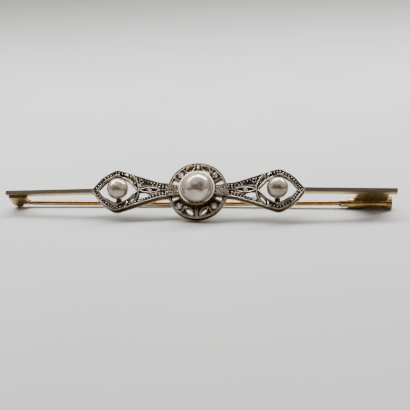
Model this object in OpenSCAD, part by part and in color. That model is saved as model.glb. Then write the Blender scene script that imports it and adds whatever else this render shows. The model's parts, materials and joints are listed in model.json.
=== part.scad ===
// Bar brooch with a pierced rosette, two pierced kite panels, three pearls, a hinged pin stem and a
// tube catch with a sliding safety sleeve. Millimetres.
// The brooch is drawn lying flat, with its face in the XY plane and its back towards -Z, X along the
// bar and the hinge at the -X end. The module at_rest() then tips it onto the three places that it
// stands on: the lower edge of the rosette, the knob of the sleeve and the foot of the hinge.

/* [Bar] */
// Length of the bar, end to end
bar_length = 70; // [66:1:76]
// Width of the bar across its face
bar_width = 0.7; // [0.6:0.05:0.9]
// Depth of the bar, grey facing and gold together
bar_depth = 1.3; // [1.1:0.1:1.6]
// Thickness of the grey facing on the bar
facing_depth = 0.4; // [0.3:0.05:0.5]
// How far each end of the bar falls behind the face
bar_drop = 0.7; // [0:0.1:1]

/* [Panels] */
// Depth of a panel's outer wall, with the gold edge
panel_depth = 1.6; // [1.4:0.1:1.8]
// Depth of the gold edge under a panel's wall
gold_edge = 0.36; // [0.3:0.02:0.42]
// Thickness of a panel's outer wall
panel_wall = 0.42; // [0.36:0.02:0.5]
// Width of the gold edge behind a kite
back_width = 0.7; // [0.6:0.05:0.8]
// Width of the gold edge behind a kite's nose
nose_back_width = 1; // [0.9:0.05:1.05]
// Thickness of the kites' pierced sheet
sheet = 0.65; // [0.5:0.05:0.75]
// Depth of the sunk ground between the polished lines
sunk = 0.16; // [0.1:0.02:0.22]
// Width of the polished lip round a panel
lip = 0.26; // [0.2:0.02:0.32]
// Width of the polished lines inside a panel
line_width = 0.22; // [0.18:0.02:0.28]

/* [Rosette] */
// Diameter of the rosette
rosette_d = 10.7; // [10.4:0.1:11.6]
// How far the rosette's ring lies below the ends of the kites
ring_step = 0.4; // [0.3:0.02:0.5]
// Width of the rosette's rim
rosette_rim = 0.6; // [0.5:0.05:0.7]
// Width of the plain ring next to the bezel
rosette_hub = 0.3; // [0.25:0.05:0.35]
// Angle of each corner stone above or below the bar
corner_angle = 44; // [42:1:46]
// Diameter of each corner stone
corner_stone_d = 0.86; // [0.7:0.02:0.9]

/* [Kites] */
// Length of a kite from its nose at the rosette to its tip
kite_length = 13.7; // [12.9:0.2:14.5]
// Height of a kite across its shoulders
kite_height = 7.6; // [7.3:0.1:8]
// Height of a kite's nose where it meets the rosette
nose_height = 2.44; // [2.2:0.04:2.6]
// Width of the border from a kite's edge to its pearl's opening
kite_border = 1.12; // [1:0.04:1.2]
// Distance from a kite's tip to the centre of its pearl
pearl_from_tip = 4.92; // [4.7:0.05:5.1]
// Radius of the curved line between a kite's pearl and its nose
frame_line_r = 3.7; // [3.5:0.1:3.9]
// Length of the leaf in a kite's nose
leaf_length = 3.9; // [3.5:0.1:4.1]
// Width of the leaf in a kite's nose
leaf_width = 1.1; // [1:0.05:1.2]
// Diameter of the stone in the leaf
leaf_stone_d = 0.5; // [0.44:0.02:0.56]

/* [Pearls] */
// Diameter of the middle pearl
pearl_d = 5.6; // [5.2:0.1:5.8]
// Height of the middle pearl's centre above the face
pearl_rise = 0.7; // [0.5:0.05:0.9]
// Thickness of the bezel round the middle pearl
bezel_wall = 0.36; // [0.3:0.02:0.44]
// Height of the bezel's edge above the face
bezel_rise = 0.9; // [0.8:0.05:1.1]
// Depth of the bezel's bright ring
bezel_depth = 0.35; // [0.3:0.05:0.5]
// Diameter of each side pearl
side_pearl_d = 3.84; // [3.5:0.04:3.96]
// Height of the side pearls' centres above the face
side_pearl_rise = 0.6; // [0.4:0.05:0.8]
// Radius of the peg in each pearl
peg_r = 0.3; // [0.25:0.05:0.4]
// Thickness of the cups and of the straps that carry them
cup_wall = 0.3; // [0.25:0.05:0.4]
// Width of the strap behind each side pearl
strap_width = 1; // [0.8:0.1:1.4]

/* [Hinge and pin] */
// Distance from the bar's end to the rivet
rivet_from_end = 1.2; // [1.1:0.1:1.5]
// Depth of the rivet's centre behind the face
rivet_depth = 5.1; // [4.8:0.1:5.4]
// Radius of the rivet
rivet_r = 0.3; // [0.25:0.05:0.35]
// Radius of the round foot of each ear
ear_r = 0.92; // [0.85:0.01:1]
// Thickness of each ear
ear_thickness = 0.32; // [0.28:0.02:0.4]
// Length of the hinge block along the bar
hinge_length = 3.4; // [3.2:0.1:3.8]
// Distance from the bar's end to the hinge block
block_from_end = 0.35; // [0.25:0.05:0.45]
// How far the bar's end slants behind, above the hinge
end_slant = 0.4; // [0.2:0.1:0.6]
// Thickness of the pin's tongue
tongue_thickness = 0.6; // [0.5:0.05:0.7]
// Radius of the pin's wire
wire_r = 0.45; // [0.4:0.01:0.48]
// Length of the point at the end of the pin
point_length = 2; // [1.6:0.1:2.2]
// Radius of the wire where its point starts
point_r = 0.38; // [0.34:0.01:0.4]
// Radius of the pin's tip
pin_tip_r = 0.08; // [0.06:0.01:0.12]
// Distance from the rivet to the start of the wire
tongue_length = 2.5; // [2.3:0.1:2.8]
// Depth of the block under the bar that carries the ears
block_depth = 0.35; // [0.3:0.05:0.5]
// Gap between the block and the heel of the tongue
heel_gap = 0.12; // [0.1:0.02:0.2]

/* [Catch] */
// Depth of the catch's centre line behind the face
catch_depth = 6.6; // [6.4:0.1:6.8]
// Outer radius of the barrel
barrel_r = 0.96; // [0.94:0.01:1.02]
// Thickness of the barrel's wall
barrel_wall = 0.2; // [0.18:0.01:0.22]
// Length of the barrel
barrel_length = 7; // [6.6:0.1:7.6]
// Distance from the bar's end to the barrel
barrel_from_end = 1.3; // [1.2:0.1:1.6]
// Thickness of the plate that carries the barrel
bracket_thickness = 0.56; // [0.5:0.02:0.62]
// How far the plate stands back from the barrel's mouth, at the bar
bracket_set_back = 1.6; // [1.4:0.1:1.8]
// How far the plate stands back from the barrel's mouth, at the barrel
bracket_foot_back = 0.5; // [0.3:0.1:0.8]
// Thickness of the sleeve's wall
sleeve_wall = 0.16; // [0.14:0.01:0.18]
// How far the sleeve's lips stand out of the barrel's mouth
lip_reach = 1.6; // [1.4:0.1:1.8]
// How far the pin's point reaches into the barrel
pin_reach = 2.3; // [2.2:0.1:2.5]
// Radius of the knob
knob_r = 1.12; // [1.08:0.02:1.2]
// Length of the knob
knob_length = 0.85; // [0.7:0.05:0.95]
// Number of notches round the knob
notches = 12; // [10:1:16]
// Radius of each notch
notch_r = 0.14; // [0.1:0.01:0.16]

/* [Hidden] */
// Clearance of a piece that is held fast in another
fit = 0.02;
// Clearance of a piece that runs in another
running = 0.04;
// Overshoot of a cut past the solid that it cuts
over = 0.5;
// Where a peg stops below its pearl's centre, as a share of the pearl's radius
peg_stop = 0.3;
// Smallest radius of an inner corner
least_r = 0.08;

rosette_r = rosette_d / 2;
pearl_r = pearl_d / 2;
side_pearl_r = side_pearl_d / 2;
bezel_r = pearl_r + fit + bezel_wall;
// The ring of the rosette that is pierced runs from band_in to band_out
band_in = bezel_r + rosette_hub;
band_out = rosette_r - rosette_rim;
band = band_out - band_in;
corner_r = (bezel_r + rosette_r) / 2;
wall_depth = panel_depth - gold_edge;

nose_x = rosette_r + fit;
tip_x = nose_x + kite_length;
end_x = bar_length / 2;
side_pearl_x = tip_x - pearl_from_tip;
drop_angle = atan(bar_drop / (end_x - tip_x));

rivet_x = -end_x + rivet_from_end;
hinge_half = tongue_thickness / 2 + running + ear_thickness;
barrel_end = end_x - barrel_from_end;
barrel_start = barrel_end - barrel_length;
bore_r = barrel_r - barrel_wall;
sleeve_r = bore_r - running;
sleeve_bore = sleeve_r - sleeve_wall;
sleeve_start = barrel_start - lip_reach;
knob_middle = barrel_end + running + knob_length / 2;
point_x = barrel_start + pin_reach;
// Place on the pin where its two straight runs meet in a slight bend
bend_x = -4;
// Place where the wire leaves the tongue
wire_x = rivet_x + tongue_length;
wire_depth = rivet_depth + wire_r;
// Fall of the pin's first run
fall = atan((catch_depth - wire_depth) / (bend_x - wire_x));
// Place of the hinge block's outer end, and depth of the tongue's heel
block_from = -end_x + block_from_end;
heel_depth = bar_back(-rivet_x) + block_depth + heel_gap;
// Depth that the ears and the bracket run into the bar
root = 0.2;
// Straight round stretch of the pin, up to a short way before the catch
straight_clear = 0.6;
straight_end = sleeve_start - straight_clear;

// A corner of an outline is a row of place x, place y and radius
CORNER_X = 0;
CORNER_Y = 1;
CORNER_R = 2;

// Upper edge of a kite from its tip to its nose, in shares: of the kite's length from the tip, of half
// its height, and of its length for the corner's radius. The nose follows its own height.
SHARE_ALONG = 0;
SHARE_UP = 1;
SHARE_R = 2;
kite_edge = [
    [0.000, 0.000, 0.012],
    [0.150, 0.680, 0.370],
    [0.330, 1.056, 0.130],
];
// Place of the waist, where the edge starts to run level, as a share of the length
waist_share = 0.908;
// Height of the waist against the nose's height, and its radius as a share of the kite's length
waist_rise = 1.12;
waist_r = 0.6;

// How the brooch stands: each foot's depth, half width and round radius below the bar
knob_foot = catch_depth;
hinge_foot = rivet_depth + ear_r;
foot_span = knob_middle - rivet_x;
mean_depth = (knob_foot * -rivet_x + hinge_foot * knob_middle) / foot_span;
mean_half = hinge_half * knob_middle / foot_span;
mean_round = knob_r * -rivet_x / foot_span;
// Tilt about the bar that brings the rosette's lower edge and the feet to one level
lean = atan2(mean_depth - panel_depth, rosette_r - mean_half)
    + asin(mean_round / norm([rosette_r - mean_half, mean_depth - panel_depth]));
// Slope along the bar that brings both feet down
slope = asin((knob_r + (knob_foot - hinge_foot) * cos(lean) - hinge_half * sin(lean)) / foot_span);
rest_height = rosette_r * sin(lean) + panel_depth * cos(lean);
// Shifts that bring the middle of the box that holds the brooch over the origin
back_y = catch_depth * sin(lean) + knob_r;
front_y = min(ring_step * sin(lean) - rosette_r * cos(lean), -pearl_rise * sin(lean) - pearl_r);
middle_y = (back_y + front_y) / 2;
end_height = rest_height - bar_drop * cos(lean);

gold = [0.86, 0.66, 0.30];
platinum = [0.62, 0.60, 0.56];
nacre = [0.90, 0.85, 0.80];
crystal = [0.88, 0.92, 0.95];

// Helpers for outlines

function polar(r, a) = [r * cos(a), r * sin(a)];

function arc(centre, r, from, to, steps) =
    [for (i = [0:steps]) centre + polar(r, from + (to - from) * i / steps)];

function unit(v) = v / norm(v);

function place(row) = [row[CORNER_X], row[CORNER_Y]];

function turn(a, b, c) = (b - a)[0] * (c - b)[1] - (b - a)[1] * (c - b)[0];

// Arc that rounds the corner b between a and c
function round_corner(a, b, c, r, steps) =
    let (back = unit(a - b))
    let (on = unit(c - b))
    let (half = acos(back * on) / 2)
    let (centre = b + unit(back + on) * r / sin(half))
    let (start = b + back * r / tan(half) - centre)
    let (end = b + on * r / tan(half) - centre)
    let (from = atan2(start[1], start[0]))
    let (swing = atan2(start[0] * end[1] - start[1] * end[0], start * end))
    arc(centre, r, from, from + swing, steps);

// Outline through rows of corners, each rounded with its own radius
function rounded(rows, steps = 6) = [
    for (i = [0:len(rows) - 1])
        let (before = place(rows[(i + len(rows) - 1) % len(rows)]))
        let (after = place(rows[(i + 1) % len(rows)]))
        each round_corner(before, place(rows[i]), after, rows[i][CORNER_R], steps)
];

// Rows of corners moved inwards by d, for rows that run anticlockwise
function inset(rows, d) = [
    for (i = [0:len(rows) - 1])
        let (a = place(rows[(i + len(rows) - 1) % len(rows)]))
        let (b = place(rows[i]))
        let (c = place(rows[(i + 1) % len(rows)]))
        let (back = unit(a - b))
        let (on = unit(c - b))
        let (half = acos(back * on) / 2)
        let (bulge = turn(a, b, c) > 0 ? 1 : -1)
        let (moved = b + unit(back + on) * bulge * d / sin(half))
        [moved[0], moved[1], max(rows[i][CORNER_R] - bulge * d, least_r)]
];

// Rows that run along an upper edge from the tip, joined to their reflection below the X axis
function both_halves(rows) = concat(
    [for (i = [len(rows) - 1:-1:0]) if (rows[i][CORNER_Y] > least_r)
        [rows[i][CORNER_X], -rows[i][CORNER_Y], rows[i][CORNER_R]]],
    rows
);

// Straight line of a given width
function strip(from, to, width) =
    let (side = unit([from[1] - to[1], to[0] - from[0]]) * width / 2)
    [from - side, to - side, to + side, from + side];

// How much wider a leaf grows for each millimetre that its ends move apart
leaf_growth = 1.6;

// Pointed leaf between two places, grown by a margin all round
function grown_leaf(from, to, width, margin) =
    let (on = unit(to - from) * margin)
    leaf(from - on, to + on, width + leaf_growth * margin);

// Pointed leaf between two places
function leaf(from, to, width, steps = 8) =
    let (half = norm(to - from) / 2)
    let (bow = (half * half + width * width / 4) / width)
    let (open = asin(half / bow))
    let (middle = (from + to) / 2)
    let (along = unit(to - from))
    let (across = [-along[1], along[0]])
    concat(
        [for (i = [0:steps]) let (a = open - 2 * open * i / steps)
            middle + along * bow * sin(a) + across * (bow * cos(a) - bow + width / 2)],
        [for (i = [1:steps - 1]) let (a = -open + 2 * open * i / steps)
            middle + along * bow * sin(a) - across * (bow * cos(a) - bow + width / 2)]
    );

// Sector of a ring
function sector(inner, outer, from, to, steps = 6) =
    concat(arc([0, 0], outer, from, to, steps), arc([0, 0], inner, to, from, steps));

// Outline of a kite, tip towards +X

kite_upper = concat(
    [for (row = kite_edge) [
        tip_x - row[SHARE_ALONG] * kite_length,
        row[SHARE_UP] * kite_height / 2,
        row[SHARE_R] * kite_length
    ]],
    [[tip_x - waist_share * kite_length, waist_rise * nose_height / 2, waist_r * kite_length]],
    [[nose_x - 3 * over, nose_height / 2, least_r]]
);
kite_rows = both_halves(kite_upper);
shoulder = place(kite_upper[2]);
waist = place(kite_upper[3]);

// Height of a kite's straight edge between the shoulder and the waist
function edge_at(x) = waist[1] + (x - waist[0]) * (shoulder[1] - waist[1]) / (shoulder[0] - waist[0]);

// Place at a distance and an angle from the side pearl's centre
function about_pearl(r, a) = [side_pearl_x, 0] + polar(r, a);

// Opening round the pearl: its outer corners follow the kite's edge
opening_upper = [for (i = [0:2]) inset(kite_rows, kite_border)[i + 4]];
// Knee of the opening beside the pearl: its distance from the pearl, its angle and its radius
knee_gap = 0.5;
knee_angle = 138;
knee_r = 0.5;
opening_knee = about_pearl(side_pearl_r + knee_gap, knee_angle);
// Distance from the curved line to the opening's inner corner
opening_end_gap = 0.4;
opening_rows = both_halves(concat(
    opening_upper,
    [[opening_knee[0], opening_knee[1], knee_r]],
    [[side_pearl_x - frame_line_r + opening_end_gap, 0, line_width]]
));

// Joint of the curved line, the pearl's opening and the leaf
joint_x = side_pearl_x - frame_line_r;
leaf_root = [joint_x, 0];
leaf_to = [joint_x - leaf_length, 0];
leaf_middle = (leaf_root + leaf_to) / 2;
// Stretch of the nose that is pierced: where it starts, as a share of the leaf's length
pierced_share = 0.28;
pierced_from = leaf_to[0] + leaf_length * pierced_share;
pierced_to = joint_x + leaf_width / 2;
// Distance from the nose's middle to its holes, and the least height of their narrow end
hole_from_middle = 0.4;
hole_end = 0.04;
// Width of the border from the nose's edge to its upper and its lower hole
nose_border_upper = 1.2;
nose_border_lower = 0.9;

// Small leaf hole between the pearl's opening and the curved line: its width, how far it lies inside
// the line, and the angles of its ends
scroll_width = 0.44;
scroll_depth = 0.46;
scroll_from = about_pearl(frame_line_r - scroll_depth, 157);
scroll_to = about_pearl(frame_line_r - scroll_depth, 131);

// Short bright bar at a kite's shoulder, with the angles of its ends
shoulder_bar_from = about_pearl(frame_line_r - line_width, 112.5);
shoulder_bar_to = about_pearl(frame_line_r - 4 * line_width, 128);

// Share of its radius at which the curved line ends, short of the pearl's centre
curve_end_share = 0.45;

// Radius of the cup under a side pearl as a share of the pearl's radius, and depth of its edge
cup_share = 0.62;
cup_edge_share = 0.72;
// Radius of the middle cup's foot as a share of the middle pearl's radius
cup_foot_share = 0.6;

module both_ways() {
    children();
    mirror([0, 1, 0]) children();
}

module kite_lines() {
    // Lip round the pearl's opening
    polygon(rounded(inset(opening_rows, -line_width)));
    // Curved line
    translate([side_pearl_x, 0]) intersection() {
        difference() {
            circle(r = frame_line_r + line_width / 2, $fn = 64);
            circle(r = frame_line_r - line_width / 2, $fn = 64);
        }
        translate([-frame_line_r * (1 + curve_end_share), 0]) square(2 * frame_line_r, center = true);
    }
    both_ways() {
        polygon(strip(shoulder_bar_from, shoulder_bar_to, line_width));
        polygon(grown_leaf(scroll_from, scroll_to, scroll_width, line_width));
    }
    difference() {
        polygon(leaf(leaf_root, leaf_to, leaf_width));
        polygon(grown_leaf(leaf_root, leaf_to, leaf_width, -line_width));
    }
    translate(leaf_middle) circle(r = leaf_stone_d / 2 + seat_rim, $fn = 32);
    // Plain spine of the nose
    polygon(strip(leaf_to + [leaf_width / 3, 0], [nose_x - 2 * over, 0], line_width));
}

// Pierced stretch of the nose between the leaf and a border of a given width
module nose_hole(border) {
    difference() {
        polygon([
            [pierced_from, hole_from_middle],
            [pierced_to, hole_from_middle],
            [pierced_to, edge_at(pierced_to) - border],
            [pierced_from, max(edge_at(pierced_from) - border, hole_from_middle + hole_end)]
        ]);
        polygon(leaf(leaf_root, leaf_to, leaf_width));
        translate([side_pearl_x, 0]) circle(r = frame_line_r + line_width, $fn = 64);
    }
}

module kite_holes() {
    polygon(rounded(opening_rows));
    both_ways() polygon(leaf(scroll_from, scroll_to, scroll_width));
    nose_hole(nose_border_upper);
    mirror([0, 1, 0]) nose_hole(nose_border_lower);
}

module layer(from, to) {
    translate([0, 0, from]) linear_extrude(to - from) children();
}

// Cylinder round the Z axis between two heights
module disc(r, from, to) {
    translate([0, 0, from]) cylinder(r = r, h = to - from, $fn = 64);
}

module kite_panel() {
    color(platinum) difference() {
        layer(-wall_depth, 0) polygon(rounded(kite_rows));
        layer(-wall_depth - over, -sheet) polygon(rounded(inset(kite_rows, panel_wall)));
        layer(-sunk, over) difference() {
            polygon(rounded(inset(kite_rows, lip)));
            kite_lines();
        }
        layer(-panel_depth, over) kite_holes();
        translate([leaf_middle[0], 0, 0]) disc(leaf_stone_d / 2 + fit, -sheet - over, over);
        disc(rosette_r + fit, -panel_depth - over, over);
    }
}

// Gold edge behind a kite, wider behind its nose
module kite_back_edge() {
    difference() {
        polygon(rounded(kite_rows));
        difference() {
            polygon(rounded(inset(kite_rows, back_width)));
            difference() {
                translate([joint_x - kite_length / 2, 0]) square(kite_length, center = true);
                polygon(rounded(inset(kite_rows, nose_back_width)));
            }
        }
    }
}

// Gold edge with the strap and cup that carry the pearl
module kite_back() {
    cup_edge = side_pearl_rise - side_pearl_r * cup_edge_share;
    color(gold) difference() {
        union() {
            layer(-panel_depth, -wall_depth) kite_back_edge();
            layer(-panel_depth, -panel_depth + cup_wall) intersection() {
                translate([side_pearl_x, 0]) square([strap_width, kite_height], center = true);
                polygon(rounded(inset(kite_rows, panel_wall)));
            }
            translate([side_pearl_x, 0, 0]) disc(side_pearl_r * cup_share, -panel_depth, cup_edge);
        }
        translate([side_pearl_x, 0, side_pearl_rise]) sphere(r = side_pearl_r + fit, $fn = 48);
        disc(rosette_r + fit, -panel_depth - over, over);
    }
    color(gold) translate([side_pearl_x, 0, 0])
        disc(peg_r, -panel_depth, side_pearl_rise - side_pearl_r * peg_stop);
}

module pearl(r, rise) {
    color(nacre) difference() {
        translate([0, 0, rise]) sphere(r = r, $fn = 48);
        disc(peg_r + fit, rise - r - over, rise - r * peg_stop + fit);
    }
}

module side_pearl() {
    translate([side_pearl_x, 0, 0]) pearl(side_pearl_r, side_pearl_rise);
}

// Rosette

// A leaf opening beside the upper or lower stem: for each end its share of the band and its angle, and
// its width as a share of the band
INNER_SHARE = 0;
INNER_ANGLE = 1;
OUTER_SHARE = 2;
OUTER_ANGLE = 3;
WIDTH_SHARE = 4;
upper_leaf = [0.53, 59, 1.04, 82.5, 0.71];
lower_leaf = [0.17, 60.5, 0.98, 82, 0.58];
// The upper leaf opening as it is cut through the gold backing
backing_leaf = [0.17, 61, 0.68, 80, 0.36];
// A square opening beside the wing end: the angle at which it ends and its outer edge's share of the band
END_ANGLE = 0;
EDGE_SHARE = 1;
upper_square = [28.5, 1.08];
lower_square = [24.5, 0.93];
// Angles of the spoke beside the leaf opening
spoke_from = 55;
spoke_to = 58;
// Angle that the polished frame of a square opening takes on its far side, and its overlap with the edge
square_frame = 4;
frame_overlap = 1;
stem_width = 0.5;
// Pit in the foot of each stem: its radius and its share of the band
pit_r = 0.13;
pit_share = 0.28;
// Width of the polished rim round the seat of a stone
seat_rim = 0.15;
// Height of a wing end at the bezel against its height at the rim
wing_taper = 0.73;
// Groove between the wing end's spine and its edge: its middle and its width
wing_groove_y = 0.42;
wing_groove_width = 0.3;

function band_at(share) = band_in + share * band;

function leaf_inner(row) = polar(band_at(row[INNER_SHARE]), row[INNER_ANGLE]);

function leaf_outer(row) = polar(band_at(row[OUTER_SHARE]), row[OUTER_ANGLE]);

module upper_half() {
    children();
    mirror([1, 0, 0]) children();
}

module lower_half() {
    mirror([0, 1, 0]) upper_half() children();
}

// Ends of the kites' noses, which run over the rosette to the bezel
module wing_ends() {
    half = nose_height / 2;
    foot = half * wing_taper;
    intersection() {
        polygon([
            [-rosette_r, -half],
            [-bezel_r, -foot],
            [bezel_r, -foot],
            [rosette_r, -half],
            [rosette_r, half],
            [bezel_r, foot],
            [-bezel_r, foot],
            [-rosette_r, half]
        ]);
        circle(r = rosette_r, $fn = 64);
    }
}

module leaf_opening(row, margin = 0) {
    polygon(grown_leaf(leaf_inner(row), leaf_outer(row), row[WIDTH_SHARE] * band, margin));
}

module square_opening(row) {
    polygon(sector(band_in, band_at(row[EDGE_SHARE]), 0, row[END_ANGLE]));
}

// Polished lines round the openings and the stone of a quarter of the ring
module quarter_lines(leaf_row, square_row) {
    polygon(sector(
        band_in - fit,
        rosette_r - lip / 2,
        square_row[END_ANGLE] - frame_overlap,
        square_row[END_ANGLE] + square_frame
    ));
    polygon(sector(band_in - fit, band_out + lip, spoke_from, spoke_to));
    intersection() {
        leaf_opening(leaf_row, line_width);
        circle(r = rosette_r - lip / 2, $fn = 64);
    }
    translate(polar(corner_r, corner_angle)) circle(r = corner_stone_d / 2 + seat_rim, $fn = 32);
}

module rosette_lines() {
    upper_half() quarter_lines(upper_leaf, upper_square);
    lower_half() quarter_lines(lower_leaf, lower_square);
    // Stems at the top and bottom
    square([stem_width, 2 * rosette_r - lip], center = true);
}

module rosette_openings(upper_row) {
    upper_half() {
        square_opening(upper_square);
        leaf_opening(upper_row);
    }
    lower_half() {
        square_opening(lower_square);
        leaf_opening(lower_leaf);
    }
}

module rosette() {
    color(platinum) difference() {
        union() {
            difference() {
                disc(rosette_r, -wall_depth, -ring_step);
                layer(-ring_step - sunk, over) difference() {
                    circle(r = rosette_r - lip, $fn = 64);
                    circle(r = band_in - rosette_hub / 2, $fn = 64);
                    rosette_lines();
                }
                layer(-panel_depth, over) rosette_openings(upper_leaf);
            }
            layer(-wall_depth, 0) wing_ends();
        }
        disc(bezel_r + fit, -panel_depth - over, over);
        layer(-sunk, over) both_ways() translate([0, wing_groove_y])
            square([3 * rosette_r, wing_groove_width], center = true);
        layer(-ring_step - sunk, over) both_ways() translate([0, band_at(pit_share)])
            circle(r = pit_r, $fn = 24);
        for (i = [0:3])
            translate(corner_place(i)) disc(corner_stone_d / 2 + fit, -panel_depth - over, over);
    }
}

// Gold backing of the rosette, pierced nearly as its front is
module rosette_back() {
    color(gold) difference() {
        union() {
            difference() {
                disc(rosette_r, -panel_depth, -wall_depth);
                layer(-panel_depth - over, over) rosette_openings(backing_leaf);
            }
            layer(-panel_depth, -wall_depth) wing_ends();
        }
        disc(bezel_r + fit, -panel_depth - over, over);
        for (i = [0:3])
            translate(corner_place(i)) disc(corner_stone_d / 2 - seat_rim, -panel_depth - over, over);
    }
}

// Places of the corner stones: upper right, lower right, lower left, upper left
function corner_place(i) =
    polar(corner_r, [corner_angle, -corner_angle, 180 + corner_angle, 180 - corner_angle][i]);

// Bright ring that closes over the middle pearl
module bezel() {
    color(platinum) difference() {
        disc(bezel_r, bezel_rise - bezel_depth, bezel_rise);
        disc(pearl_r + fit, -over, bezel_rise + over);
    }
}

// Gold cup under the bezel, with a peg
module pearl_cup() {
    cup_floor = pearl_rise - pearl_r - fit - cup_wall;
    color(gold) difference() {
        rotate_extrude($fn = 64) polygon([
            [0, cup_floor],
            [pearl_r * cup_foot_share, cup_floor],
            [bezel_r, -wall_depth],
            [bezel_r, bezel_rise - bezel_depth],
            [0, bezel_rise - bezel_depth]
        ]);
        translate([0, 0, pearl_rise]) sphere(r = pearl_r + fit, $fn = 48);
        disc(pearl_r + fit, pearl_rise, bezel_rise + over);
    }
    color(gold) disc(peg_r, cup_floor, pearl_rise - pearl_r * peg_stop);
}

// Proportions of a cut stone against its width: the table's radius, the crown's height, the girdle's
// height, the depth below and the radius of the foot
table_share = 0.3;
crown_share = 0.2;
girdle_share = 0.06;
depth_share = 0.32;
foot_share = 0.1;

// Cut stone with a table, eight crown facets, a girdle and eight facets below
module stone(d) {
    girdle = d * girdle_share;
    below = d * depth_share;
    color(crystal) {
        cylinder(r1 = d / 2, r2 = d * table_share, h = d * crown_share, $fn = 8);
        translate([0, 0, -girdle]) cylinder(r = d / 2, h = girdle, $fn = 8);
        translate([0, 0, -girdle - below]) cylinder(r1 = d * foot_share, r2 = d / 2, h = below, $fn = 8);
    }
}

module corner_stone(i) {
    translate(corner_place(i)) translate([0, 0, -ring_step]) stone(corner_stone_d);
}

module leaf_stone() {
    translate([leaf_middle[0], 0, 0]) stone(leaf_stone_d);
}

// Bar

// Slab along an arm of the bar between two depths, cut to the kite's tip and sloping to the end
module arm(from, to, short_end) {
    difference() {
        translate([tip_x, 0, 0]) rotate([0, drop_angle, 0]) plate(bar_width) polygon([
            [-over, -from],
            [-over, -to],
            [arm_length - short_end, -to],
            [arm_length, -from]
        ]);
        layer(-bar_depth - over, over) polygon(rounded(inset(kite_rows, -fit)));
    }
}

arm_length = (end_x - tip_x) / cos(drop_angle);

module bar_facing() {
    color(platinum) arm(0, facing_depth, 0);
}

// Depth of the bar's back at a place along the bar
function bar_back(x) = bar_depth / cos(drop_angle) + (x - tip_x) * tan(drop_angle);

// Angle on an ear's round foot where its inner edge leaves it
ear_angle = -37;

module hinge_ears() {
    base = bar_back(-rivet_x);
    difference() {
        union() {
            for (side = [-1, 1])
                translate([0, side * (hinge_half - ear_thickness / 2), 0]) {
                    plate(ear_thickness) polygon([
                        [block_from, -base + root],
                        [rivet_x - ear_r, -rivet_depth],
                        [rivet_x, -rivet_depth],
                        [rivet_x, -rivet_depth] + polar(ear_r, ear_angle),
                        [block_from + hinge_length, -base],
                        [block_from + hinge_length, -base + root]
                    ]);
                    across_rivet(ear_r, ear_thickness);
                }
            translate([block_from, -hinge_half, -base - block_depth])
                cube([hinge_length, 2 * hinge_half, block_depth + root]);
        }
        across_rivet(rivet_r + fit, 2 * hinge_half + over);
    }
}

module bar_left() {
    color(gold) union() {
        other_side() arm(facing_depth, bar_depth, end_slant);
        hinge_ears();
    }
}

// Plate between the bar and the barrel
module bracket() {
    bracket_from = barrel_start + bracket_set_back;
    plate(bracket_thickness) polygon([
        [bracket_from, -bar_back(bracket_from) + root],
        [barrel_start + bracket_foot_back, -catch_depth],
        [barrel_end - barrel_wall, -catch_depth],
        [barrel_end, -bar_back(barrel_end) + root]
    ]);
}

module along_catch() {
    translate([0, 0, -catch_depth]) rotate([0, 90, 0]) children();
}

module bar_right() {
    color(gold) difference() {
        union() {
            arm(facing_depth, bar_depth, 0);
            bracket();
            along_catch() disc(barrel_r, barrel_start, barrel_end);
        }
        along_catch() disc(bore_r, barrel_start - over, barrel_end + over);
        // Slot at the back, where the pin swings out
        translate([barrel_start - over, -sleeve_bore, -catch_depth - barrel_r - over])
            cube([over + pin_reach + wire_r, 2 * sleeve_bore, barrel_r + over]);
    }
}

module hinge_rivet() {
    color(gold) across_rivet(rivet_r, 2 * hinge_half - 2 * fit);
}

// Upright plate of a given thickness, drawn along the bar and towards the face
module plate(thickness) {
    rotate([90, 0, 0]) translate([0, 0, -thickness / 2]) linear_extrude(thickness) children();
}

// Cylinder across the bar, at the rivet
module across_rivet(r, length) {
    translate([rivet_x, 0, -rivet_depth]) rotate([90, 0, 0])
        cylinder(r = r, h = length, center = true, $fn = 48);
}

// Radius of the tongue's round foot, and the angle where its outer edge leaves it
tongue_r = ear_r - 0.05;
tongue_angle = 102;
// Stretch of the tongue that bears on the block, as shares of the tongue's length
heel_from_share = 0.28;
heel_to_share = 0.64;

module pin_tongue() {
    plate(tongue_thickness) polygon([
        [rivet_x, -rivet_depth] + polar(tongue_r, tongue_angle),
        [rivet_x + tongue_length * heel_from_share, -heel_depth],
        [rivet_x + tongue_length * heel_to_share, -heel_depth],
        [wire_x - wire_r, -wire_depth + wire_r],
        [wire_x, -wire_depth + tongue_thickness / 2],
        [wire_x, -wire_depth - tongue_thickness / 2],
        [rivet_x, -rivet_depth - tongue_r]
    ]);
    across_rivet(tongue_r, tongue_thickness);
}

// Straight run from the tongue to the bend, with a short cone that grows out of the tongue
module pin_first_run() {
    run = norm([bend_x - wire_x, catch_depth - wire_depth]);
    translate([wire_x, 0, -wire_depth]) rotate([0, 90 + fall, 0]) {
        translate([0, 0, -wire_r])
            cylinder(r1 = tongue_thickness / 2, r2 = wire_r, h = wire_r, $fn = 32);
        cylinder(r = wire_r, h = run, $fn = 32);
    }
}

// Slight bend: a ball a hair larger than the wire
module pin_bend() {
    translate([bend_x, 0, -catch_depth]) sphere(r = wire_r + fit / 10, $fn = 48);
}

// Straight run to the catch, a slight taper and the point
module pin_second_run() {
    point_from = point_x - point_length;
    along_catch() {
        disc(wire_r, bend_x, straight_end);
        translate([0, 0, straight_end])
            cylinder(r1 = wire_r, r2 = point_r, h = point_from - straight_end, $fn = 32);
        translate([0, 0, point_from])
            cylinder(r1 = point_r, r2 = pin_tip_r, h = point_length, $fn = 32);
    }
}

module pin_stem() {
    color(gold) difference() {
        union() {
            pin_tongue();
            pin_first_run();
            pin_bend();
            pin_second_run();
        }
        across_rivet(rivet_r + running, tongue_thickness + over);
    }
}

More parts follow.
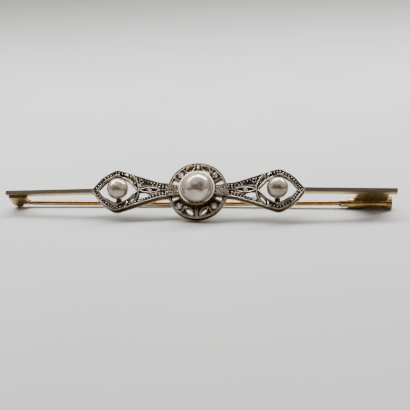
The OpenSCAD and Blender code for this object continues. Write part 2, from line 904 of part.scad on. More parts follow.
// Tube that slides in the barrel, with pointed lips above and below the pin and a milled knob
module catch_sleeve() {
    knob_from = barrel_end + running;
    color(gold) difference() {
        along_catch() {
            disc(sleeve_r, sleeve_start, knob_from + knob_length / 2);
            disc(knob_r, knob_from, knob_from + knob_length);
        }
        along_catch() disc(sleeve_bore, sleeve_start - over, barrel_end);
        // Mouth cut to a point above and below
        translate([0, 0, -catch_depth]) plate(2 * barrel_r) polygon([
            [sleeve_start - fit, -sleeve_r],
            [sleeve_start + lip_reach, 0],
            [sleeve_start - fit, sleeve_r]
        ]);
        for (i = [0:notches - 1])
            along_catch() rotate([0, 0, i * 360 / notches])
                translate([knob_r, 0, 0]) disc(notch_r, barrel_end, knob_from + knob_length + over);
    }
}

// Stance on a level surface, with the middle of the brooch's box over the origin
module at_rest() {
    translate([end_height * sin(slope), -middle_y, 0])
        rotate([0, -slope, 0])
            translate([0, 0, rest_height]) rotate([lean, 0, 0]) children();
}

module other_side() {
    mirror([1, 0, 0]) children();
}

at_rest() bar_left();
at_rest() bar_right();
at_rest() other_side() bar_facing();  // bar_left_facing
at_rest() bar_facing();  // bar_right_facing
at_rest() other_side() kite_panel();  // kite_left
at_rest() kite_panel();  // kite_right
at_rest() other_side() kite_back();  // kite_left_back
at_rest() kite_back();  // kite_right_back
at_rest() rosette();
at_rest() rosette_back();
at_rest() bezel();
at_rest() pearl_cup();
at_rest() pearl(pearl_r, pearl_rise);  // pearl_centre
at_rest() other_side() side_pearl();  // pearl_left
at_rest() side_pearl();  // pearl_right
at_rest() corner_stone(0);  // corner_stone_1
at_rest() corner_stone(1);  // corner_stone_2
at_rest() corner_stone(2);  // corner_stone_3
at_rest() corner_stone(3);  // corner_stone_4
at_rest() other_side() leaf_stone();  // leaf_stone_left
at_rest() leaf_stone();  // leaf_stone_right
at_rest() hinge_rivet();
at_rest() pin_stem();
at_rest() catch_sleeve();
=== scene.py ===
import json
import math

import bmesh
import bpy
from mathutils import Matrix, Vector


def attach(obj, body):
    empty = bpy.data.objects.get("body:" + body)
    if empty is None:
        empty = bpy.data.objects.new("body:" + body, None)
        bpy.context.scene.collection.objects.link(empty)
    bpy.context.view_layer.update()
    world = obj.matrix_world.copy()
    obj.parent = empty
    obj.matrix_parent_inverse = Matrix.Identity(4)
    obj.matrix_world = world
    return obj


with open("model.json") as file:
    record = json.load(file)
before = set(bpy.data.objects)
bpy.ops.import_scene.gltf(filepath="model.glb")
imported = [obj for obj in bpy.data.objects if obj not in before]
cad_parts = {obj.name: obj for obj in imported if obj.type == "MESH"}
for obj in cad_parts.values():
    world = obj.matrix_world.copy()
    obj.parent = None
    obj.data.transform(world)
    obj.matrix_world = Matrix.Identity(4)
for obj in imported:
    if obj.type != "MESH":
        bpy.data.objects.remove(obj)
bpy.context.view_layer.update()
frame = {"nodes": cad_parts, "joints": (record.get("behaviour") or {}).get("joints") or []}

# The brooch's own frame, worked out from its joints: along the bar, across it, and out of its face.
# Shapes below are drawn in this frame in millimetres, with the face at height 0.

MM = 0.001
# Place of the pin's rivet: along the bar from the brooch's middle, and behind the face
RIVET_X = -33.8
RIVET_DEPTH = 5.1

joints = {joint["name"]: joint for joint in frame["joints"]}
ALONG = Vector(joints["sleeve_slide"]["axis"]).normalized()
ACROSS = Vector(joints["pin_hinge"]["axis"]).normalized()
FACE = ALONG.cross(ACROSS)
CENTRE = Vector(joints["pin_hinge"]["pos_m"]) - MM * (RIVET_X * ALONG - RIVET_DEPTH * FACE)
LEAN = Matrix((ALONG, ACROSS, FACE)).transposed()
STANCE = Matrix.Translation(CENTRE) @ LEAN.to_4x4() @ Matrix.Scale(MM, 4)

MIDDLE = Vector((0, 0))
# Decimals that are kept of a measure taken from a mesh, since it isn't exact beyond them
DECIMALS = 3


def own_places(node):
    """A solid's vertices in the brooch's own frame."""
    return [STANCE.inverted() @ v.co for v in frame["nodes"][node].data.vertices]


def middle_of(node):
    """Middle of a solid in the plane of the face."""
    along, across, _ = zip(*own_places(node))
    return Vector([round((min(part) + max(part)) / 2, DECIMALS) for part in (along, across)])


def radius_of(node, centre=MIDDLE):
    """Radius of a round solid in the plane of the face."""
    return round(max((place.xy - centre).length for place in own_places(node)), DECIMALS)


def top_of(node):
    """Height of a solid over the face."""
    return round(max(place.z for place in own_places(node)), DECIMALS)


# Places and sizes that the details take from the solids
ROSETTE_R = radius_of("rosette")
BEZEL_R = radius_of("bezel")
BEZEL_TOP = top_of("bezel")
CORNER_STONE = middle_of("corner_stone_1")
CORNER_STONE_R = radius_of("corner_stone_1", CORNER_STONE)
LEAF_STONE = middle_of("leaf_stone_right")
LEAF_STONE_R = radius_of("leaf_stone_right", LEAF_STONE)
SIDE_PEARL = middle_of("pearl_right")

# Sizes that the details share with the solids, in millimetres

# Rosette: the step from the face down to its ring, and the band that holds its leaf openings
RING_STEP = 0.4
BAND_IN = 3.48
BAND_OUT = 4.75
# Kite: the end of its nose, its length, half its height, half the height of its nose, and its border
NOSE_X = 5.37
KITE_LENGTH = 13.7
KITE_HALF = 3.8
NOSE_HALF = 1.22
BORDER = 1.12
# Radius of the curved line round the kite's pearl, and the leaf in the kite's nose
CURVE_R = 3.7
LEAF_LENGTH = 3.9
LEAF_WIDTH = 1.1
# Smallest radius of a corner
SHARP_R = 0.08


# Outlines


def polar(r, angle):
    """Place at a distance and an angle in degrees."""
    return Vector((r * math.cos(math.radians(angle)), r * math.sin(math.radians(angle))))


def arc(centre, r, start, end, steps):
    """Places along a circular arc."""
    return [Vector(centre) + polar(r, start + (end - start) * i / steps) for i in range(steps + 1)]


def at_corner(corners, i):
    """Place of a corner, the directions back and on from it, and half of its angle in radians."""
    here = Vector(corners[i][:2])
    back = (Vector(corners[i - 1][:2]) - here).normalized()
    on = (Vector(corners[(i + 1) % len(corners)][:2]) - here).normalized()
    return here, back, on, math.acos(max(-1, min(1, back.dot(on)))) / 2


def inset(corners, depth):
    """Corners of an outline that runs anticlockwise, moved inwards. A corner is (x, y, radius)."""
    moved = []
    for i, corner in enumerate(corners):
        here, back, on, half = at_corner(corners, i)
        bulge = 1 if back.x * on.y - back.y * on.x < 0 else -1
        place = here + (back + on).normalized() * bulge * depth / math.sin(half)
        moved.append((place.x, place.y, max(corner[2] - bulge * depth, SHARP_R)))
    return moved


def rounded(corners, steps=8):
    """Outline through corners, each rounded with its own radius."""
    path = []
    for i, corner in enumerate(corners):
        r = corner[2]
        here, back, on, half = at_corner(corners, i)
        centre = here + (back + on).normalized() * r / math.sin(half)
        start = here + back * r / math.tan(half) - centre
        end = here + on * r / math.tan(half) - centre
        first = math.degrees(math.atan2(start.y, start.x))
        swing = math.degrees(math.atan2(start.x * end.y - start.y * end.x, start.dot(end)))
        path += arc(centre, r, first, first + swing, steps)
    return path


def cut_to(path, keep):
    """The longest unbroken stretch of a path whose places pass a test."""
    runs, run = [], []
    for place in path:
        if keep(place):
            run.append(place)
        else:
            runs.append(run)
            run = []
    runs.append(run)
    return max(runs, key=len)


def spaced(path, step):
    """Places at even steps along a path."""
    lengths = [(b - a).length for a, b in zip(path, path[1:])]
    count = max(1, round(sum(lengths) / step))
    wanted = [sum(lengths) * i / count for i in range(count + 1)]
    places, done, i = [], 0.0, 0
    for goal in wanted:
        while i < len(lengths) - 1 and done + lengths[i] < goal:
            done += lengths[i]
            i += 1
        share = (goal - done) / lengths[i] if lengths[i] else 0
        places.append(path[i].lerp(path[i + 1], min(1, share)))
    return places


def leaf(start, end, width, steps=10):
    """Closed outline of a pointed leaf between two places."""
    half = (end - start).length / 2
    bow = (half * half + width * width / 4) / width
    opening = math.asin(half / bow)
    middle = (start + end) / 2
    on = (end - start).normalized()
    across = Vector((-on.y, on.x))
    path = []
    for side in (1, -1):
        for i in range(steps):
            a = side * (opening - 2 * opening * i / steps)
            rise = bow * math.cos(a) - bow + width / 2
            path.append(middle + on * bow * math.sin(a) + across * side * rise)
    return path


# Upper edge of a kite from its tip to its waist. Columns: place from the tip as a share of the length,
# height, and radius as a share of the length.
KITE_EDGE = [
    (0.0, 0.0, 0.012),
    (0.150, 0.680 * KITE_HALF, 0.370),
    (0.330, 1.056 * KITE_HALF, 0.130),
    (0.908, 1.12 * NOSE_HALF, 0.6),
]
# How far the outline runs on under the rosette's rim, and how far from the rim a detail begins
NOSE_TUCK = 1.5
RIM_CLEAR = 0.1


def kite_corners():
    """Corners of the right kite's outline, anticlockwise from its nose's lower end."""
    tip_x = NOSE_X + KITE_LENGTH
    upper = [(tip_x - share * KITE_LENGTH, y, r * KITE_LENGTH) for share, y, r in KITE_EDGE]
    upper.append((NOSE_X - NOSE_TUCK, NOSE_HALF, SHARP_R))
    lower = [(x, -y, r) for x, y, r in reversed(upper) if y > 0]
    return lower + upper


KITE = kite_corners()


def kite_path(depth):
    """Stretch of the kite's outline, moved inwards, from rosette to rosette."""
    path = rounded(inset(KITE, depth))
    start = min(range(len(path)), key=lambda i: path[i].length)
    return cut_to(path[start:] + path[:start], lambda p: p.length > ROSETTE_R + RIM_CLEAR)


def nose_side(depth, from_x, to_x, up):
    """Upper or lower stretch of the kite's moved outline between two places along the bar."""
    return cut_to(kite_path(depth), lambda p: from_x < p.x < to_x and p.y * up > 0)


# Meshes. A shape is a list of (vertices, faces) in millimetres in the brooch's own frame.

WIRE_SIDES = 8
# How much thinner a tapering wire is at its ends
TAPER = 0.75


def bead(place, on, long, wide, height, tall):
    """Grain of metal: half its length along a direction, half its width, its height and its rise."""
    made = bmesh.new()
    bmesh.ops.create_icosphere(made, subdivisions=2, radius=1)
    across = Vector((-on.y, on.x))
    verts = []
    for v in made.verts:
        flat = place + on * v.co.x * long + across * v.co.y * wide
        verts.append(Vector((flat.x, flat.y, height + v.co.z * tall)))
    faces = [[v.index for v in f.verts] for f in made.faces]
    made.free()
    return verts, faces


def grain_row(path, step, **size):
    """Grains of one size at even steps along a path, each turned along it."""
    places = spaced(path, step)
    shapes = []
    for i, place in enumerate(places):
        on = (places[min(i + 1, len(places) - 1)] - places[max(i - 1, 0)]).normalized()
        shapes.append(bead(place, on, **size))
    return shapes


def wire(path, r, height=0.0, closed=False, flat=1.0, taper=False):
    """Wire along a path that lies level with the face, with its axis at a height."""
    count = len(path)
    verts, faces = [], []
    for i, place in enumerate(path):
        after = path[(i + 1) % count] if closed or i < count - 1 else place
        before = path[i - 1] if closed or i > 0 else place
        on = (after - before).normalized()
        side = Vector((-on.y, on.x))
        thick = r * (1 - TAPER * abs(2 * i / (count - 1) - 1) ** 3) if taper else r
        for k in range(WIRE_SIDES):
            a = 2 * math.pi * k / WIRE_SIDES
            out = side * thick * math.cos(a)
            verts.append(Vector((place.x + out.x, place.y + out.y, height + flat * thick * math.sin(a))))
    for i in range(count if closed else count - 1):
        near = i * WIRE_SIDES
        far = (i + 1) % count * WIRE_SIDES
        for k in range(WIRE_SIDES):
            after = (k + 1) % WIRE_SIDES
            faces.append([near + k, far + k, far + after, near + after])
    if not closed:
        last = (count - 1) * WIRE_SIDES
        faces.append(list(range(WIRE_SIDES)))
        faces.append(list(range(last, last + WIRE_SIDES))[::-1])
    return verts, faces


def ring(radius, **how):
    """Closed ring of wire round the brooch's middle."""
    return wire(arc(MIDDLE, radius, 0, 360, 120)[:-1], closed=True, **how)


def flipped(shapes, x=1, y=1):
    """Shapes mirrored along the bar where x is -1, and across it where y is -1."""
    turned = []
    for verts, faces in shapes:
        moved = [Vector((v.x * x, v.y * y, v.z)) for v in verts]
        turned.append((moved, [f[::-1] for f in faces] if x * y < 0 else faces))
    return turned


def piece(name, shapes, material):
    """One platinum object of all the shapes, in its place on the brooch."""
    verts, faces = [], []
    for shape_verts, shape_faces in shapes:
        first = len(verts)
        verts += [STANCE @ v for v in shape_verts]
        faces += [[first + i for i in f] for f in shape_faces]
    mesh = bpy.data.meshes.new(name)
    mesh.from_pydata(verts, [], faces)
    mesh.shade_smooth()
    mesh.materials.append(material)
    made = bpy.data.objects.new(name, mesh)
    bpy.context.scene.collection.objects.link(made)
    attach(made, "root")


# Nodes of materials. Here lengths are in metres, and the scale of a noise is in cycles a metre.

# Radius that edges are softened by, and the depth of fine dents
EDGE_R = 0.00005
DENT_DEPTH = 0.00005
# Range that a noise mostly keeps to
NOISE_LOW = 0.3
NOISE_HIGH = 0.7


def blank(name):
    """A new node material with its tree and its shader."""
    material = bpy.data.materials.new(name)
    material.use_nodes = True
    return material, material.node_tree, material.node_tree.nodes["Principled BSDF"]


def add(tree, kind, **settings):
    """A node with its settings; a setting that names an input sets that input."""
    node = tree.nodes.new(kind)
    for key, value in settings.items():
        if hasattr(node, key):
            setattr(node, key, value)
        else:
            node.inputs[key.replace("_", " ")].default_value = value
    return node


def feed(tree, value, socket):
    """Give an input its value: the output of another node, a colour or a number."""
    if isinstance(value, bpy.types.NodeSocket):
        tree.links.new(value, socket)
    elif isinstance(value, tuple):
        socket.default_value = (*value, 1)
    else:
        socket.default_value = value


def calculated(tree, operation, *values):
    """Result of a sum on values, each a number or a socket."""
    node = add(tree, "ShaderNodeMath", operation=operation)
    for value, socket in zip(values, node.inputs):
        feed(tree, value, socket)
    return node.outputs[0]


def product(tree, first, second):
    """Two values multiplied."""
    return calculated(tree, "MULTIPLY", first, second)


def spread(tree, value, low, high, out_low=0.0, out_high=1.0):
    """Value mapped from one range to another, and kept in it."""
    node = add(tree, "ShaderNodeMapRange", From_Min=low, From_Max=high, To_Min=out_low, To_Max=out_high)
    tree.links.new(value, node.inputs["Value"])
    return node.outputs["Result"]


def mixed(tree, share, first, second):
    """Two colours mixed by a share; each may be a colour or a socket."""
    node = add(tree, "ShaderNodeMix", data_type="RGBA")
    colours = [socket for socket in node.inputs if socket.type == "RGBA"]
    feed(tree, share, node.inputs["Factor"])
    feed(tree, first, colours[0])
    feed(tree, second, colours[1])
    return next(socket for socket in node.outputs if socket.type == "RGBA")


def noise(tree, scale, detail=3.0, stretch=None):
    """Noise in the brooch's own space; stretch changes its scale along each axis."""
    place = add(tree, "ShaderNodeTexCoord").outputs["Object"]
    if stretch:
        mapping = add(tree, "ShaderNodeMapping", Scale=stretch)
        tree.links.new(place, mapping.inputs["Vector"])
        place = mapping.outputs["Vector"]
    texture = add(tree, "ShaderNodeTexNoise", Scale=scale, Detail=detail, Roughness=0.5)
    tree.links.new(place, texture.inputs["Vector"])
    return texture.outputs["Fac"]


def ramp(tree, value, stops):
    """Colour ramp from (position, colour) stops."""
    node = add(tree, "ShaderNodeValToRGB")
    elements = node.color_ramp.elements
    for i, (position, colour) in enumerate(stops):
        element = elements[i] if i < 2 else elements.new(position)
        element.position = position
        element.color = (*colour, 1)
    tree.links.new(value, node.inputs["Fac"])
    return node.outputs["Color"]


def mottled(tree, scale, stops, **how):
    """Colours that change from place to place with a noise."""
    return ramp(tree, noise(tree, scale, **how), stops)


def uneven(tree, low, high):
    """Value that changes from place to place between two others."""
    return spread(tree, noise(tree, 2500), NOISE_LOW, NOISE_HIGH, low, high)


def open_share(tree, low, high, reach=0.0004):
    """How open a place is, the mask of painted shade: 0 in recesses, where the share of sky seen is under
    low, to 1 over high.
    """
    clear = add(tree, "ShaderNodeAmbientOcclusion", samples=8, Distance=reach)
    return spread(tree, clear.outputs["AO"], low, high)


def part_along(tree, socket, direction):
    """Component of a vector along a direction."""
    node = add(tree, "ShaderNodeVectorMath", operation="DOT_PRODUCT")
    tree.links.new(socket, node.inputs[0])
    node.inputs[1].default_value = direction
    return node.outputs["Value"]


def normal_along(tree, direction):
    """How far a surface faces one of the brooch's directions, from -1 to 1."""
    return part_along(tree, add(tree, "ShaderNodeNewGeometry").outputs["Normal"], direction)


def distance_along(tree, direction):
    """How far a place lies from the brooch's middle along one of its directions, in millimetres."""
    place = add(tree, "ShaderNodeTexCoord").outputs["Object"]
    return calculated(tree, "SUBTRACT", part_along(tree, place, direction / MM), CENTRE.dot(direction) / MM)


def faces_out(tree):
    """1 on a surface that lies level with the face, 0 on a wall."""
    return spread(tree, normal_along(tree, FACE), 0.6, 0.85)


def finish_metal(tree, shader, bump, scale=3000, edge_r=EDGE_R):
    """Fine dents and softly rounded edges."""
    edge = add(tree, "ShaderNodeBevel", samples=4, Radius=edge_r)
    dents = add(tree, "ShaderNodeBump", Strength=bump, Distance=DENT_DEPTH)
    tree.links.new(noise(tree, scale), dents.inputs["Height"])
    tree.links.new(edge.outputs["Normal"], dents.inputs["Normal"])
    tree.links.new(dents.outputs["Normal"], shader.inputs["Normal"])


# Materials

# Width in millimetres of the blend at a ground's top and bottom, and how far under its top it is full
GROUND_BLEND = 0.04
GROUND_FULL = 0.1
# Depth of the sunk ground under the metal round it, in millimetres
GROUND_DEPTH = 0.3
# Distance across the bar past which the rosette's walls that face the middle get a painted pale-gold light,
# and the width of the blend there
LIT_WALLS_FROM = 2.4
LIT_WALLS_BLEND = 0.4


def metal(name, light, worn, dark, rough, openness, bump=0.3):
    """Polished metal with painted shade in its recesses, where its dark tone takes over: tones, and ranges
    of roughness and openness.
    """
    material, tree, shader = blank(name)
    shader.inputs["Metallic"].default_value = 1.0
    tone = mottled(tree, 900, [(0.35, worn), (0.65, light)])
    # Painted shade: the dark tone takes over where little sky is seen
    tree.links.new(mixed(tree, open_share(tree, *openness), dark, tone), shader.inputs["Base Color"])
    tree.links.new(uneven(tree, *rough), shader.inputs["Roughness"])
    finish_metal(tree, shader, bump)
    return material


def sunk_share(tree, tops):
    """1 on the level ground sunk under any of some heights, else 0."""
    height = distance_along(tree, FACE)
    sunk = 0.0
    for top in tops:
        bottom = top - GROUND_DEPTH
        below = spread(tree, height, top - GROUND_BLEND, top - GROUND_FULL)
        above = spread(tree, height, bottom, bottom + GROUND_BLEND)
        sunk = calculated(tree, "MAXIMUM", sunk, product(tree, below, above))
    return product(tree, sunk, faces_out(tree))


def carved_metal(name, tops, lit_top_walls=False):
    """Platinum with worn lines, walls painted dark brown as shade, painted shade in its recesses, and a
    blackened ground sunk under the heights in tops. Where the last argument is set, the walls at the top
    that face the middle get a painted pale-gold light."""
    material, tree, shader = blank(name)
    shader.inputs["Metallic"].default_value = 1.0
    shader.inputs["Specular Tint"].default_value = (0.66, 0.6, 0.53, 1)
    # Painted shade: walls are toned much darker than the level faces
    wall = mottled(tree, 700, [(0.3, (0.014, 0.010, 0.006)), (0.7, (0.055, 0.042, 0.027))])
    line = mottled(tree, 1100, [(0.35, (0.13, 0.106, 0.08)), (0.6, (0.33, 0.285, 0.235))])
    black = mottled(tree, 1800, [(0.35, (0.014, 0.010, 0.007)), (0.75, (0.06, 0.046, 0.033))])
    ground = sunk_share(tree, tops)
    tone = mixed(tree, ground, mixed(tree, faces_out(tree), wall, line), black)
    # Painted shade: darker where little sky is seen
    recess_shade = (0.04, 0.029, 0.019)
    tone = mixed(tree, open_share(tree, 0.2, 0.75, reach=0.0005), recess_shade, tone)
    if lit_top_walls:
        # Painted light: walls at the top that face the middle get a pale gold, lit tone, and less metal so
        # that they take diffuse light
        faces_in = spread(tree, normal_along(tree, ACROSS), -0.2, -0.6)
        at_top = spread(tree, distance_along(tree, ACROSS), LIT_WALLS_FROM, LIT_WALLS_FROM + LIT_WALLS_BLEND)
        share = product(tree, faces_in, at_top)
        painted_gold_light = (0.98, 0.82, 0.58)
        tone = mixed(tree, share, tone, painted_gold_light)
        tree.links.new(spread(tree, share, 0, 1, 1.0, 0.3), shader.inputs["Metallic"])
    tree.links.new(tone, shader.inputs["Base Color"])
    tree.links.new(spread(tree, ground, 0, 1, 0.24, 0.5), shader.inputs["Roughness"])
    finish_metal(tree, shader, bump=0.4)
    return material


def facing_metal():
    """Grey drawn platinum of the bar, with faint streaks along it."""
    material, tree, shader = blank("drawn_platinum")
    shader.inputs["Metallic"].default_value = 1.0
    streaks = noise(tree, 5000, stretch=(0.04, 1, 1))
    tone = mixed(tree, noise(tree, 350), (0.10, 0.079, 0.056), (0.155, 0.127, 0.093))
    dark = (0.065, 0.051, 0.035)
    tone = mixed(tree, spread(tree, streaks, NOISE_LOW, NOISE_HIGH, 0, 0.35), tone, dark)
    tree.links.new(tone, shader.inputs["Base Color"])
    rough = spread(tree, streaks, NOISE_LOW, NOISE_HIGH, 0.28, 0.42)
    tree.links.new(rough, shader.inputs["Roughness"])
    finish_metal(tree, shader, bump=0.2, scale=4000, edge_r=1.2 * EDGE_R)
    return material


def bezel_metal():
    """Platinum ring round the middle pearl with painted light: a pale painted highlight on its rim, painted
    shade on its side walls and in its recesses, and dark gold-brown painted shade on its lowest part.
    """
    material, tree, shader = blank("bezel_platinum")
    # Little metal, so that the pale rim tone takes diffuse light as a painted highlight
    shader.inputs["Metallic"].default_value = 0.15
    painted_cream = mottled(tree, 900, [(0.35, (0.97, 0.83, 0.64)), (0.6, (1.0, 0.91, 0.76))])
    # Painted shade: dark gold-brown on the ring's lowest part, dark on its side walls, darker still in its
    # recesses
    gold = mottled(tree, 1500, [(0.35, (0.10, 0.055, 0.02)), (0.65, (0.30, 0.21, 0.08))])
    dark = (0.045, 0.034, 0.024)
    recess_shade = (0.05, 0.035, 0.02)
    across = distance_along(tree, ACROSS)
    side = mixed(tree, spread(tree, across, -2.6, -2.2), gold, dark)
    rim = mixed(tree, spread(tree, across, -2.75, -2.45), gold, painted_cream)
    tone = mixed(tree, faces_out(tree), side, rim)
    tone = mixed(tree, open_share(tree, 0.15, 0.5, reach=0.0003), recess_shade, tone)
    tree.links.new(tone, shader.inputs["Base Color"])
    tree.links.new(uneven(tree, 0.3, 0.42), shader.inputs["Roughness"])
    finish_metal(tree, shader, bump=0.3)
    return material


def pale_gold():
    """Matt pale gold of the back plate, seen through the rosette's openings, with painted shade in its
    recesses.
    """
    material, tree, shader = blank("pale_gold")
    shader.inputs["Metallic"].default_value = 0.45
    tone = mottled(tree, 800, [(0.35, (0.56, 0.37, 0.14)), (0.65, (0.76, 0.55, 0.25))])
    # Painted shade in its recesses
    recess_shade = (0.20, 0.12, 0.05)
    tree.links.new(mixed(tree, open_share(tree, 0.0, 0.5), recess_shade, tone), shader.inputs["Base Color"])
    tree.links.new(uneven(tree, 0.25, 0.4), shader.inputs["Roughness"])
    finish_metal(tree, shader, bump=0.3)
    return material


def nacre(name, metallic, clouds):
    """Nacre with faint clouds and an uneven surface under a glossy coat."""
    material, tree, shader = blank(name)
    shader.inputs["Metallic"].default_value = metallic
    shader.inputs["Roughness"].default_value = 0.25
    shader.inputs["Coat Weight"].default_value = 1.0
    shader.inputs["Coat Roughness"].default_value = 0.14
    shader.inputs["Coat IOR"].default_value = 1.9
    tree.links.new(mottled(tree, 230, clouds, detail=4), shader.inputs["Base Color"])
    dents = add(tree, "ShaderNodeBump", Strength=0.7, Distance=10 * DENT_DEPTH)
    tree.links.new(noise(tree, 420, detail=2), dents.inputs["Height"])
    tree.links.new(dents.outputs["Normal"], shader.inputs["Normal"])
    tree.links.new(dents.outputs["Normal"], shader.inputs["Coat Normal"])
    return material


def cut_stone():
    """Cut stone with painted glint spots: a noise mottles its colour between dark and bright."""
    material, tree, shader = blank("stone")
    shader.inputs["Metallic"].default_value = 0.35
    shader.inputs["Roughness"].default_value = 0.04
    shader.inputs["IOR"].default_value = 2.2
    # Painted glint spots, bright and dark, in place of lit facets
    painted_glints = mottled(tree, 3200, [(0.47, (0.10, 0.083, 0.08)), (0.6, (0.97, 0.93, 0.93))])
    tree.links.new(painted_glints, shader.inputs["Base Color"])
    return material


# The dark tone of each metal below is painted shade in its recesses
GOLD = metal(
    "gold", light=(0.60, 0.42, 0.165), worn=(0.42, 0.27, 0.095), dark=(0.19, 0.12, 0.04),
    rough=(0.14, 0.3), openness=(0.05, 0.7), bump=0.12)
COPPERY_GOLD = metal(
    "coppery_gold", light=(0.45, 0.26, 0.10), worn=(0.33, 0.17, 0.055), dark=(0.13, 0.06, 0.018),
    rough=(0.12, 0.24), openness=(0.05, 0.6))
OLD_GOLD = metal(
    "old_gold", light=(0.50, 0.34, 0.125), worn=(0.33, 0.205, 0.07), dark=(0.13, 0.08, 0.026),
    rough=(0.12, 0.24), openness=(0.05, 0.65))
BRIGHT = metal(
    "bright_platinum", light=(0.66, 0.59, 0.505), worn=(0.32, 0.275, 0.225), dark=(0.04, 0.031, 0.024),
    rough=(0.14, 0.28), openness=(0.05, 0.55))
# Dark platinum for painted shade: lines on upper edges, in openings and in gaps
PAINTED_SHADE_METAL = metal(
    "painted_shade_platinum", light=(0.17, 0.14, 0.105), worn=(0.07, 0.055, 0.04), dark=(0.01, 0.008, 0.006),
    rough=(0.3, 0.45), openness=(0.0, 0.5))
KITE_METAL = carved_metal("kite_platinum", [0.0])
RING_METAL = carved_metal("ring_platinum", [0.0, -RING_STEP], lit_top_walls=True)
BEZEL_METAL = bezel_metal()
STONE = cut_stone()
WARM_NACRE = nacre("nacre", 0.68, [
    (0.34, (0.285, 0.2, 0.15)), (0.5, (0.54, 0.44, 0.36)), (0.66, (0.49, 0.40, 0.385))])
GREEN_NACRE = nacre("green_nacre", 0.54, [
    (0.34, (0.20, 0.135, 0.09)), (0.5, (0.36, 0.285, 0.205)), (0.66, (0.31, 0.275, 0.21))])

# Materials of the solids
LOOKS = [
    (GOLD, ["bar_left", "bar_right", "kite_left_back", "kite_right_back", "pearl_cup", "hinge_rivet"]),
    (COPPERY_GOLD, ["pin_stem"]),
    (OLD_GOLD, ["catch_sleeve"]),
    (pale_gold(), ["rosette_back"]),
    (facing_metal(), ["bar_left_facing", "bar_right_facing"]),
    (KITE_METAL, ["kite_left", "kite_right"]),
    (RING_METAL, ["rosette"]),
    (BEZEL_METAL, ["bezel"]),
    (WARM_NACRE, ["pearl_centre"]),
    (GREEN_NACRE, ["pearl_left", "pearl_right"]),
    (STONE, ["corner_stone_1", "corner_stone_2", "corner_stone_3", "corner_stone_4"]),
    (STONE, ["leaf_stone_left", "leaf_stone_right"]),
]
for look, names in LOOKS:
    for name in names:
        mesh = frame["nodes"][name].data
        mesh.materials.clear()
        mesh.materials.append(look)


# Milgrain and raised lines, in millimetres and degrees

# Height of the axis of a line on the face, and how flat such a line is
ON_FACE = -0.02
FLAT = 0.7
# Height of the middle of a grain
GRAIN_HEIGHT = -0.06
# Row of grains on the kite's border: their spacing, and how far the row lies inside the edge
GRAIN_STEP = 0.56
GRAIN_INSET = 0.5
# Finer rows along the nose: how far they lie inside the edge, and where they end along the bar
NOSE_INSET = 0.86
NOSE_END_X = 10.6
# Vine between the nose's rows and its leaf: how far inside the edge, its ends along the bar, its wave's
# length and swing, its height, and the spacing of its places
VINE_INSET = 1.12
VINE_FROM_X = 6.4
VINE_TO_X = 10.2
VINE_WAVE = 0.85
VINE_SWING = 0.1
VINE_HEIGHT = -0.11
VINE_STEP = 0.08
# Curved line round the kite's pearl: half of its angle, and the ends of the bar that crosses its shoulder,
# each how far inside the line and at what angle
CURVE_HALF = 62
SHOULDER = [(0.2, 112.5), (0.9, 128)]
# Inner edge of the pearl's opening, from the curved line's middle past the knee
OPENING_EDGE = [(10.72, 0.1), (12.2, 1.78), (13.5, 2.5)]
# Little ring beside the curved line
MOTIF_X = 10.05
MOTIF_Y = 1.66
MOTIF_R = 0.34
# Dark branches in the nose's openings, painted shade. Columns: places, radius, height, and whether the ends
# taper.
BRANCHES = [
    ([(6.3, 0.5), (8.4, 0.72), (10.3, 0.95)], 0.17, -0.2, True),
    ([(8.3, 0.6), (10.45, 0.66)], 0.2, -0.24, False),
    ([(6.2, -0.55), (8.8, -0.86)], 0.26, -0.22, True),
]
BRANCH_STEP = 0.3
# Grains inside the rosette's rim: the row's radius, its ends and their spacing
RIM_GRAINS_R = 4.93
RIM_GRAINS_FROM = 31
RIM_GRAINS_TO = 55
RIM_GRAINS_STEP = 0.36
# Grooves of the rosette's wing ends: their ends along the bar, their place across it, and the grains' step
WING_FROM_X = 3.5
WING_TO_X = 5.3
WING_GROOVE = 0.42
WING_STEP = 0.5
# Fine ring between the rosette's rim and its openings
RIM_LINE_R = 4.98
# Leaf openings of the rosette. Columns: side of the bar, share of the band and angle of the inner end, the
# same of the outer end, and width as a share of the band.
LEAF_OPENINGS = [
    (1, 0.53, 59, 1.04, 82.5, 0.71),
    (-1, 0.17, 60.5, 0.98, 82, 0.58),
]


def edge_line(depth, r, height, from_x=0, from_y=-KITE_HALF, to_y=KITE_HALF, **how):
    """Wire along the kite's moved outline, past a place along the bar and between two across it."""
    path = cut_to(kite_path(depth), lambda p: p.x > from_x and from_y < p.y < to_y)
    return wire(path, r, height, **how)


def vine(path):
    """Wire that swings from side to side along a path."""
    places = spaced(path, VINE_STEP)
    swung = []
    for i, place in enumerate(places[1:-1], 1):
        on = (places[i + 1] - places[i - 1]).normalized()
        swing = VINE_SWING * math.sin(2 * math.pi * VINE_STEP * i / VINE_WAVE)
        swung.append(place + Vector((-on.y, on.x)) * swing)
    return wire(swung, r=0.065, height=VINE_HEIGHT)


def stone_grains(place, r, height, turn):
    """Four grains that hold a stone."""
    shapes = []
    for i in range(4):
        out = polar(1, turn + 90 * i)
        shapes.append(bead(place + out * r, out, long=0.09, wide=0.1, height=height, tall=0.1))
    return shapes


def kite_grains():
    """Rows of grains round a kite, along its nose and round its small stone."""
    size = {"long": 0.1, "wide": 0.19, "height": GRAIN_HEIGHT, "tall": 0.14}
    fine = {"long": 0.12, "wide": 0.14, "height": GRAIN_HEIGHT, "tall": 0.13}
    shapes = grain_row(kite_path(GRAIN_INSET), GRAIN_STEP, **size)
    for up in (1, -1):
        shapes += grain_row(nose_side(NOSE_INSET, 0, NOSE_END_X, up), GRAIN_STEP, **fine)
    return shapes + stone_grains(LEAF_STONE, LEAF_STONE_R + 0.07, height=0.0, turn=0)


